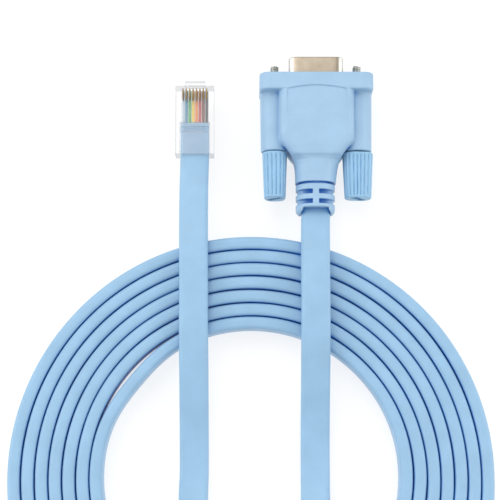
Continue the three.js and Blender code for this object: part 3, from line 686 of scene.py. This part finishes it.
def knob(name, side, turn, material):
    across = ticks(-KNOB_HALF_WIDE, KNOB_HALF_WIDE, KNOB_GRID)
    along = ticks(KNOB_BACK, KNOB_FRONT, KNOB_GRID)
    points, faces = surface(knob_field, [across, along, across], KNOB_GRID)
    c, s = math.cos(turn), math.sin(turn)
    x = c * points[:, 0] + s * points[:, 2] + side * SCREW_X
    z = c * points[:, 2] - s * points[:, 0] + AXIS_Z
    made = mesh_piece(f"knob_{name}_ribbed", np.stack([x, points[:, 1], z], 1), faces, material, 180)
    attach(made, f"thumbscrew_{name}")
    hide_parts(f"knob_{name}")


def turned(profile, around=32):
    """Vertices and faces of a closed solid turned about Y, from rows of radius and y."""
    angles = np.arange(around) / around * 2 * math.pi
    rings = [[(r * math.cos(a), y, r * math.sin(a)) for a in angles] for r, y in profile]
    return closed_loft(np.array(rings))


def closed_loft(rings):
    """Rings of like points joined in order, with a flat face on each end."""
    count, around = rings.shape[:2]
    ring, i = np.meshgrid(np.arange(count - 1), np.arange(around), indexing="ij")
    a = ring * around + i
    b = ring * around + (i + 1) % around
    faces = np.stack([a, b, b + around, a + around], -1).reshape(-1, 4).tolist()
    faces.append(list(range(around))[::-1])
    faces.append(list(range((count - 1) * around, count * around)))
    return rings.reshape(-1, 3), faces


def screw(name, side, material):
    """A jackscrew: a plain shank and a threaded tip."""
    tip = HOOD_FRONT + SCREW_REACH
    thread_start = HOOD_FRONT - THREAD_BURIED
    threaded = np.arange(thread_start, tip, THREAD_PITCH / THREAD_STEPS)
    stations = np.concatenate([[SCREW_BACK], threaded, [tip]])
    angles = np.arange(36) / 36 * 2 * math.pi
    y, angle = np.meshgrid(stations, angles, indexing="ij")
    phase = (y / THREAD_PITCH - angle / (2 * math.pi)) % 1
    groove = THREAD_DEPTH * (1 - np.abs(2 * phase - 1)) * (y > thread_start + 1e-6)
    point = np.minimum(1, (tip - y) / POINT_LENGTH)
    radius = (SCREW_RADIUS - groove) - POINT_DEPTH * (1 - point)
    rings = np.stack([side * SCREW_X + radius * np.cos(angle), y, AXIS_Z - radius * np.sin(angle)], -1)
    made = mesh_piece(f"screw_{name}_threaded", *closed_loft(rings), material, 35)
    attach(made, f"thumbscrew_{name}")
    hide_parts(f"screw_{name}")


# Shell and insulator

def d_ring(inset, y, around=96):
    """Points round the D outline, found along rays from its middle."""
    angles = np.arange(around) / around * 2 * math.pi
    x, z = np.cos(angles), -np.sin(angles)
    near, far = np.zeros(around), np.full(around, SHELL_WIDTH)
    for _ in range(40):
        middle = (near + far) / 2
        within = d_outline(x * middle, z * middle, inset) < 0
        near, far = np.where(within, middle, near), np.where(within, far, middle)
    return np.stack([x * near, np.full(around, y), AXIS_Z + z * near], -1)


def shell(material):
    """The pressed shell: outside wall, rolled rim and inside wall as one closed skin."""
    low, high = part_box("dsub_shell")
    rim = SHELL_WALL / 2
    profile = [(0.0, low.y), (0.0, HOOD_FRONT), (0.0, high.y - 2 * rim)]
    for step in range(1, RIM_STEPS + 1):
        share = step / RIM_STEPS
        angle = math.pi * share
        rim_y = high.y - rim + rim * math.sin(angle) - rim * (1 - share)
        profile.append((rim - rim * math.cos(angle), rim_y))
    profile += [(SHELL_WALL, high.y - 2 * rim), (SHELL_WALL, low.y)]
    rings = np.array([d_ring(inset, y) for inset, y in profile])
    count, around = rings.shape[:2]
    ring, i = np.meshgrid(np.arange(count), np.arange(around), indexing="ij")
    a = ring * around + i
    b = ring * around + (i + 1) % around
    whole = count * around
    faces = np.stack([a, b, (b + around) % whole, (a + around) % whole], -1).reshape(-1, 4)
    made = mesh_piece("shell_pressed", rings.reshape(-1, 3), faces, material, 50)
    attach(made, "cable_set")
    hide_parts("dsub_shell")


def insulator_field(p):
    x, y, z = p[..., 0], p[..., 1], p[..., 2] - AXIS_Z
    low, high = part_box("dsub_insulator")
    made = rounded_max(d_outline(x, z, SHELL_WALL + SHELL_ROOM), slab(y, low.y, high.y), INSULATOR_EDGE)
    for px, pz in contact_places():
        reach = np.hypot(x - px, z - pz)
        mouth = reach - HOLE_RADIUS - np.maximum(y - high.y + HOLE_FLARE, 0)
        socket = np.maximum(reach - SOCKET_RADIUS, y - high.y + SOCKET_FROM_FRONT)
        made = without(made, np.minimum(mouth, socket), HOLE_EDGE)
    return made


def contact_places():
    places = [((i - 2) * CONTACT_PITCH, CONTACT_ROWS / 2) for i in range(5)]
    return places + [((i - 1.5) * CONTACT_PITCH, -CONTACT_ROWS / 2) for i in range(4)]


def insulator(material):
    axes = [ticks(a, b, INSULATOR_GRID) for a, b in zip(*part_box("dsub_insulator"))]
    made = mesh_piece("insulator_block", *surface(insulator_field, axes, INSULATOR_GRID), material, 50)
    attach(made, "cable_set")
    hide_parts("dsub_insulator")


# Modular plug

def box_mesh(low, high):
    made = bmesh.new()
    bmesh.ops.create_cube(made, size=1)
    middle = [(a + b) / 2 for a, b in zip(low, high)]
    for v in made.verts:
        v.co = Vector(m + c * (b - a) for m, c, a, b in zip(middle, v.co, low, high))
    data = bpy.data.meshes.new("tool")
    made.to_mesh(data)
    made.free()
    return bpy.data.objects.new("tool", data)


def round_edges(shape, edge):
    """Flat faces made whole again, and the edges between them rounded."""
    bmesh.ops.remove_doubles(shape, verts=shape.verts, dist=WELD)
    bmesh.ops.dissolve_limit(shape, angle_limit=FLAT_ANGLE, verts=shape.verts, edges=shape.edges)
    sharp = [e for e in shape.edges if e.is_manifold and e.calc_face_angle(0) > SHARP_ANGLE]
    bmesh.ops.bevel(
        shape, geom=sharp, offset=edge, segments=3, profile=0.5, affect="EDGES", clamp_overlap=True
    )


def carved(name, adds, cuts, edge, material):
    """Boxes joined, others cut from them, and the edges rounded."""
    whole = adds[0]
    whole.name = name
    tools = [(tool, "UNION") for tool in adds[1:]] + [(tool, "DIFFERENCE") for tool in cuts]
    for made in [whole] + [tool for tool, _ in tools]:
        bpy.context.scene.collection.objects.link(made)
    for tool, operation in tools:
        modifier = whole.modifiers.new("tool", "BOOLEAN")
        modifier.object = tool
        modifier.operation = operation
        modifier.solver = "EXACT"
    depsgraph = bpy.context.evaluated_depsgraph_get()
    data = bpy.data.meshes.new_from_object(whole.evaluated_get(depsgraph))
    whole.modifiers.clear()
    for tool, _ in tools:
        bpy.data.objects.remove(tool)
    shape = bmesh.new()
    shape.from_mesh(data)
    round_edges(shape, edge)
    shape.to_mesh(data)
    shape.free()
    data.materials.clear()
    data.materials.append(material)
    data.shade_smooth()
    data.set_sharp_from_angle(angle=SHADE_SHARP_FROM)
    whole.data = data
    return whole


def way_x(way):
    return PLUG_X + (way - (WAYS - 1) / 2) * WAY_PITCH


def plug_body(material):
    half = (PLUG_HIGH.x - PLUG_LOW.x) / 2
    block = box_mesh((PLUG_X - half, PLUG_BACK, PLUG_BOTTOM), (PLUG_X + half, PLUG_FRONT, PLUG_TOP))
    nose = box_mesh(
        (PLUG_X - NOSE_HALF_WIDTH, PLUG_FRONT - PAST_FACE, PLUG_BOTTOM),
        (PLUG_X + NOSE_HALF_WIDTH, PLUG_HIGH.y, PLUG_BOTTOM + NOSE_HEIGHT),
    )
    room = WIRE_RADIUS + WIRE_ROOM
    channel_half = CABLE_THICKNESS / 2 + CHANNEL_ROOM
    cuts = [
        box_mesh(
            (way_x(0) - room, WIRE_LOW.y - PAST_FACE, WIRE_Z - room),
            (way_x(WAYS - 1) + room, WIRE_HIGH.y + WIRE_ROOM, WIRE_Z + room),
        ),
        box_mesh(
            (PLUG_X - CABLE_WIDTH / 2 - CHANNEL_ROOM_LEFT, PLUG_BACK - PAST_FACE, CHANNEL_Z - channel_half),
            (PLUG_X + CABLE_WIDTH / 2 + CHANNEL_ROOM, WIRE_LOW.y, CHANNEL_Z + channel_half),
        ),
        box_mesh(
            (PLUG_X - GROOVE_HALF_WIDTH, PLUG_FRONT - GROOVE_TO, PLUG_TOP - GROOVE_DEPTH),
            (PLUG_X + GROOVE_HALF_WIDTH, PLUG_FRONT - GROOVE_FROM, PLUG_TOP + PAST_FACE),
        ),
    ]
    for way in range(WAYS):
        cuts.append(
            box_mesh(
                (way_x(way) - BLADE_SLOT_HALF, PLUG_FRONT - BLADE_SLOT_TO, WIRE_Z),
                (way_x(way) + BLADE_SLOT_HALF, PLUG_FRONT - BLADE_SLOT_FROM, PLUG_TOP + PAST_FACE),
            )
        )
    made = carved("plug_moulding", [block, nose], cuts, PLUG_EDGE, material)
    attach(made, "cable_set")
    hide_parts("plug_body")
    return made


def softened(node, name, body, edge, material):
    """A CAD node with its flat faces whole again and its edges rounded."""
    shape = bmesh.new()
    shape.from_mesh(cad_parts[node].data)
    round_edges(shape, edge)
    data = bpy.data.meshes.new(name)
    shape.to_mesh(data)
    shape.free()
    data.materials.append(material)
    data.shade_smooth()
    data.set_sharp_from_angle(angle=SHADE_SHARP_FROM)
    made = bpy.data.objects.new(name, data)
    bpy.context.scene.collection.objects.link(made)
    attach(made, body)
    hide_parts(node)
    return made


def wire(way, colour_name, material):
    """One insulated conductor, with a rounded cut end at the front."""
    profile = [(WIRE_RADIUS, WIRE_LOW.y)]
    for step in range(WIRE_END_STEPS + 1):
        angle = step / WIRE_END_STEPS * math.pi / 2
        radius = WIRE_RADIUS - WIRE_END_EDGE * (1 - math.cos(angle))
        profile.append((radius, WIRE_HIGH.y - WIRE_END_EDGE * (1 - math.sin(angle))))
    points, faces = turned(profile, 20)
    points = points + np.array([way_x(way), 0, WIRE_Z])
    made = mesh_piece(f"wire_{colour_name}", points, faces, material, 50)
    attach(made, "cable_set")
    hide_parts(f"plug_wire_{way + 1}")
    return made


# Materials: each has a colour that wanders a little, an uneven gloss and a fine relief

def start(name, rough, metallic=0.0):
    material = bpy.data.materials.new(name)
    material.use_nodes = True
    tree = material.node_tree
    shader = tree.nodes["Principled BSDF"]
    shader.inputs["Roughness"].default_value = rough
    shader.inputs["Metallic"].default_value = metallic
    coordinates = tree.nodes.new("ShaderNodeTexCoord").outputs["Object"]
    return material, tree, shader, coordinates


def noise(tree, coordinates, scale, stretch=(1, 1, 1), detail=3):
    mapping = tree.nodes.new("ShaderNodeMapping")
    mapping.inputs["Scale"].default_value = [scale * s for s in stretch]
    tree.links.new(coordinates, mapping.inputs["Vector"])
    texture = tree.nodes.new("ShaderNodeTexNoise")
    texture.inputs["Scale"].default_value = 1
    texture.inputs["Detail"].default_value = detail
    tree.links.new(mapping.outputs["Vector"], texture.inputs["Vector"])
    return texture.outputs["Fac"]


def ramp(tree, value, low, high, from_low=0.3, from_high=0.7):
    made = tree.nodes.new("ShaderNodeValToRGB")
    made.color_ramp.elements[0].position = from_low
    made.color_ramp.elements[1].position = from_high
    made.color_ramp.elements[0].color = (*low, 1)
    made.color_ramp.elements[1].color = (*high, 1)
    tree.links.new(value, made.inputs["Fac"])
    return made.outputs["Color"]


def spread(tree, value, low, high):
    made = tree.nodes.new("ShaderNodeMapRange")
    made.inputs["From Min"].default_value = 0.3
    made.inputs["From Max"].default_value = 0.7
    made.inputs["To Min"].default_value = low
    made.inputs["To Max"].default_value = high
    tree.links.new(value, made.inputs["Value"])
    return made.outputs["Result"]


def relief(tree, shader, value, strength, distance):
    bump = tree.nodes.new("ShaderNodeBump")
    bump.inputs["Strength"].default_value = strength
    bump.inputs["Distance"].default_value = distance
    tree.links.new(value, bump.inputs["Height"])
    tree.links.new(bump.outputs["Normal"], shader.inputs["Normal"])


def tinted(colour, factor):
    return [min(1, channel * factor) for channel in colour]


def plastic(name, colour, rough, grain=3500, depth=0.00002, wander=0.04, shade_colour=None, beside=None):
    """Moulded or extruded plastic with a fine grain, and painted shade: a deeper colour down in its
    grooves, where the surface is closed in.
    """
    material, tree, shader, coordinates = start(name, rough)
    cloud = noise(tree, coordinates, 160)
    shade = ramp(tree, cloud, tinted(colour, 1 - wander), tinted(colour, 1 + wander))
    if shade_colour:
        # painted shade in the piece's own hollows
        shade = with_painted_shade(tree, shade, shade_colour)
    if beside:
        # painted shade cast by other pieces too, past the given place along X
        shade = with_painted_shade(tree, shade, shade_colour, beside)
    tree.links.new(shade, shader.inputs["Base Color"])
    gloss = spread(tree, noise(tree, coordinates, 900), rough - 0.05, rough + 0.06)
    tree.links.new(gloss, shader.inputs["Roughness"])
    relief(tree, shader, noise(tree, coordinates, grain), 0.5, depth)
    return material


def with_painted_shade(tree, shade, shade_colour, beside=None):
    """Painted shade: a colour that turns to another, deeper one where the surface is closed in by itself,
    or past a place along
    X by other pieces too."""
    open_sky = tree.nodes.new("ShaderNodeAmbientOcclusion")
    open_sky.samples = 8
    open_sky.only_local = beside is None
    open_sky.inputs["Distance"].default_value = GROOVE_REACH if beside is None else MOUTH_REACH
    share = tree.nodes.new("ShaderNodeMapRange")
    share.inputs["From Min"].default_value = CLOSED_IN
    share.inputs["From Max"].default_value = OPEN
    tree.links.new(open_sky.outputs["AO"], share.inputs["Value"])
    factor = share.outputs["Result"]
    if beside is not None:
        factor = open_before(tree, factor, beside)
    mix = tree.nodes.new("ShaderNodeMix")
    mix.data_type = "RGBA"
    mix.inputs[6].default_value = (*shade_colour, 1)
    tree.links.new(factor, mix.inputs[0])
    tree.links.new(shade, mix.inputs[7])
    return mix.outputs[2]


def open_before(tree, factor, place):
    """The factor past a place along X, and 1 before it."""
    geometry = tree.nodes.new("ShaderNodeNewGeometry")
    parts = tree.nodes.new("ShaderNodeSeparateXYZ")
    tree.links.new(geometry.outputs["Position"], parts.inputs["Vector"])
    before = tree.nodes.new("ShaderNodeMapRange")
    before.inputs["From Min"].default_value = place - 0.005
    before.inputs["From Max"].default_value = place
    before.inputs["To Min"].default_value = 1
    before.inputs["To Max"].default_value = 0
    tree.links.new(parts.outputs["X"], before.inputs["Value"])
    larger = tree.nodes.new("ShaderNodeMath")
    larger.operation = "MAXIMUM"
    tree.links.new(before.outputs["Result"], larger.inputs[0])
    tree.links.new(factor, larger.inputs[1])
    return larger.outputs[0]


def metal(name, colour, rough, stretch, depth=0.000008, painted_highlight=None):
    """Plated metal with fine drawn lines and slight tarnish, and painted reflections where a highlight
    colour is given.
    """
    material, tree, shader, coordinates = start(name, rough, 1.0)
    cloud = noise(tree, coordinates, 260)
    shade = ramp(tree, cloud, tinted(colour, 0.88), tinted(colour, 1.06))
    if painted_highlight:
        shade = painted_shell_reflections(tree, shade, painted_highlight)
    tree.links.new(shade, shader.inputs["Base Color"])
    lines = noise(tree, coordinates, 6000, stretch)
    tree.links.new(spread(tree, lines, rough - 0.06, rough + 0.08), shader.inputs["Roughness"])
    relief(tree, shader, lines, 0.4, depth)
    return material


def painted_shell_reflections(tree, shade, painted_highlight):
    """Painted reflections on the plating: a painted highlight makes the rounded corners and sides brighter
    than the flats, and painted shade darkens the upright sides and the rim.
    """
    geometry = tree.nodes.new("ShaderNodeNewGeometry")
    parts = tree.nodes.new("ShaderNodeSeparateXYZ")
    tree.links.new(geometry.outputs["Normal"], parts.inputs["Vector"])
    sideways = tree.nodes.new("ShaderNodeMath")
    sideways.operation = "ABSOLUTE"
    tree.links.new(parts.outputs["X"], sideways.inputs[0])
    share = tree.nodes.new("ShaderNodeMapRange")
    share.inputs["From Min"].default_value = 0.18
    share.inputs["From Max"].default_value = 0.45
    tree.links.new(sideways.outputs[0], share.inputs["Value"])
    mix = tree.nodes.new("ShaderNodeMix")
    mix.data_type = "RGBA"
    mix.inputs[7].default_value = (*painted_highlight, 1)
    tree.links.new(share.outputs["Result"], mix.inputs[0])
    tree.links.new(shade, mix.inputs[6])
    forward = tree.nodes.new("ShaderNodeMapRange")
    forward.inputs["From Min"].default_value = 0.3
    forward.inputs["From Max"].default_value = 0.8
    tree.links.new(parts.outputs["Y"], forward.inputs["Value"])
    upright = tree.nodes.new("ShaderNodeMapRange")
    upright.inputs["From Min"].default_value = 0.80
    upright.inputs["From Max"].default_value = 0.97
    upright.inputs["To Max"].default_value = 0.7
    tree.links.new(sideways.outputs[0], upright.inputs["Value"])
    painted_shade_share = tree.nodes.new("ShaderNodeMath")
    painted_shade_share.operation = "MAXIMUM"
    tree.links.new(forward.outputs["Result"], painted_shade_share.inputs[0])
    tree.links.new(upright.outputs["Result"], painted_shade_share.inputs[1])
    rim = tree.nodes.new("ShaderNodeMix")
    rim.data_type = "RGBA"
    rim.inputs[7].default_value = (*SHELL_RIM_PAINTED_SHADE, 1)
    tree.links.new(painted_shade_share.outputs[0], rim.inputs[0])
    tree.links.new(mix.outputs[2], rim.inputs[6])
    return rim.outputs[2]


def clear_plastic(name, rough):
    """Clear moulding: see-through face on, with more body towards its edges, where a dark grey is painted
    in as shade in place of refraction.
    """
    material, tree, shader, coordinates = start(name, rough)
    flow = noise(tree, coordinates, 420, (1, 0.35, 1))
    gloss = spread(tree, noise(tree, coordinates, 1500), rough, rough + 0.08)
    tree.links.new(gloss, shader.inputs["Roughness"])
    relief(tree, shader, flow, 0.15, 0.00001)
    edge = tree.nodes.new("ShaderNodeLayerWeight")
    edge.inputs["Blend"].default_value = 0.35
    see = tree.nodes.new("ShaderNodeMapRange")
    see.inputs["To Min"].default_value = CLEAR_FACE_ON
    see.inputs["To Max"].default_value = CLEAR_AT_EDGE
    tree.links.new(edge.outputs["Facing"], see.inputs["Value"])
    # painted shade: the colour turns dark grey towards grazing edges
    shade = ramp(tree, edge.outputs["Facing"], CLEAR_FACE, CLEAR_EDGE_PAINTED_SHADE, 0.05, 0.6)
    tree.links.new(shade, shader.inputs["Base Color"])
    tree.links.new(see.outputs["Result"], shader.inputs["Alpha"])
    return material


# Floor and light

def floor():
    bpy.ops.mesh.primitive_plane_add(size=6, location=(0, 0, -0.0001))
    made = bpy.context.object
    made.name = "floor"
    material, tree, shader, coordinates = start("floor_white", 0.9)
    paper = noise(tree, coordinates, 40)
    tree.links.new(ramp(tree, paper, (0.29, 0.29, 0.29), (0.30, 0.30, 0.30)), shader.inputs["Base Color"])
    shader.inputs["Emission Color"].default_value = (1, 1, 1, 1)
    shader.inputs["Emission Strength"].default_value = FLOOR_GLOW
    made.data.materials.append(material)


def light(name, place, target, size, power):
    data = bpy.data.lights.new(name, "AREA")
    data.energy = power
    data.size = size
    made = bpy.data.objects.new(name, data)
    made.location = place
    made.rotation_euler = (Vector(target) - Vector(place)).to_track_quat("-Z", "Y").to_euler()
    bpy.context.scene.collection.objects.link(made)


camera()
# The blue plastics get a deeper blue painted in as shade in their hollows
pvc = plastic("pvc", PVC_BLUE, 0.42, shade_colour=PAINTED_SHADE_BLUE)
# The cable also gets painted shade from nearby pieces past the hood's left edge along X: under the hood's
# mouth and where a lead crosses the coil
cable_pvc = plastic("cable_pvc", CABLE_BLUE, 0.44, 2600, shade_colour=PAINTED_SHADE_BLUE, beside=HOOD_LOW.x)
knob_plastic = plastic("knob_plastic", KNOB_BLUE, 0.40, shade_colour=PAINTED_SHADE_BLUE)
# The shell's nickel carries painted reflections, highlight and shade
nickel = metal("nickel", NICKEL_PAINTED_REFLECTION, 0.34, (1, 0.06, 1), painted_highlight=NICKEL_PAINTED_HIGHLIGHT)
steel = metal("steel", STEEL, 0.30, (1, 0.3, 1))
dark = plastic("dark_plastic", NEAR_BLACK, 0.5)
gold = metal("gold", GOLD, 0.34, (1, 0.15, 1))
blade_gold = metal("blade_gold", SHADED_BLADE_GOLD, 0.40, (1, 0.15, 1))
clear = clear_plastic("clear_plastic", 0.06)
cable_piece, cable_path, cable_length = cable(cable_pvc)
plug_pieces = [
    plug_body(clear),
    softened("plug_latch", "latch_clear", "latch", LATCH_EDGE, clear),
]
for way, (name, colour) in enumerate(WIRES):
    plug_pieces.append(wire(way, name, plastic(f"wire_{name}", colour, 0.35, 5000, 0.00001)))
    blade = f"plug_blade_{way + 1}"
    plug_pieces.append(
        softened(blade, f"blade_{way + 1}", "cable_set", BLADE_EDGE, blade_gold)
    )
hood(pvc)
for name, side in (("left", -1), ("right", 1)):
    knob(name, side, KNOB_TURNS[name], knob_plastic)
    screw(name, side, steel)
shell(nickel)
insulator(dark)
for number in range(1, 10):
    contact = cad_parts[f"dsub_socket_{number}"]
    contact.data.materials.clear()
    contact.data.materials.append(gold)
floor()
world = bpy.data.worlds.new("studio")
world.use_nodes = True
world.node_tree.nodes["Background"].inputs["Color"].default_value = (1, 1, 1, 1)
world.node_tree.nodes["Background"].inputs["Strength"].default_value = WORLD_STRENGTH
bpy.context.scene.world = world
bpy.context.scene.view_settings.view_transform = "Standard"
for lamp in LIGHTS:
    light(*lamp)
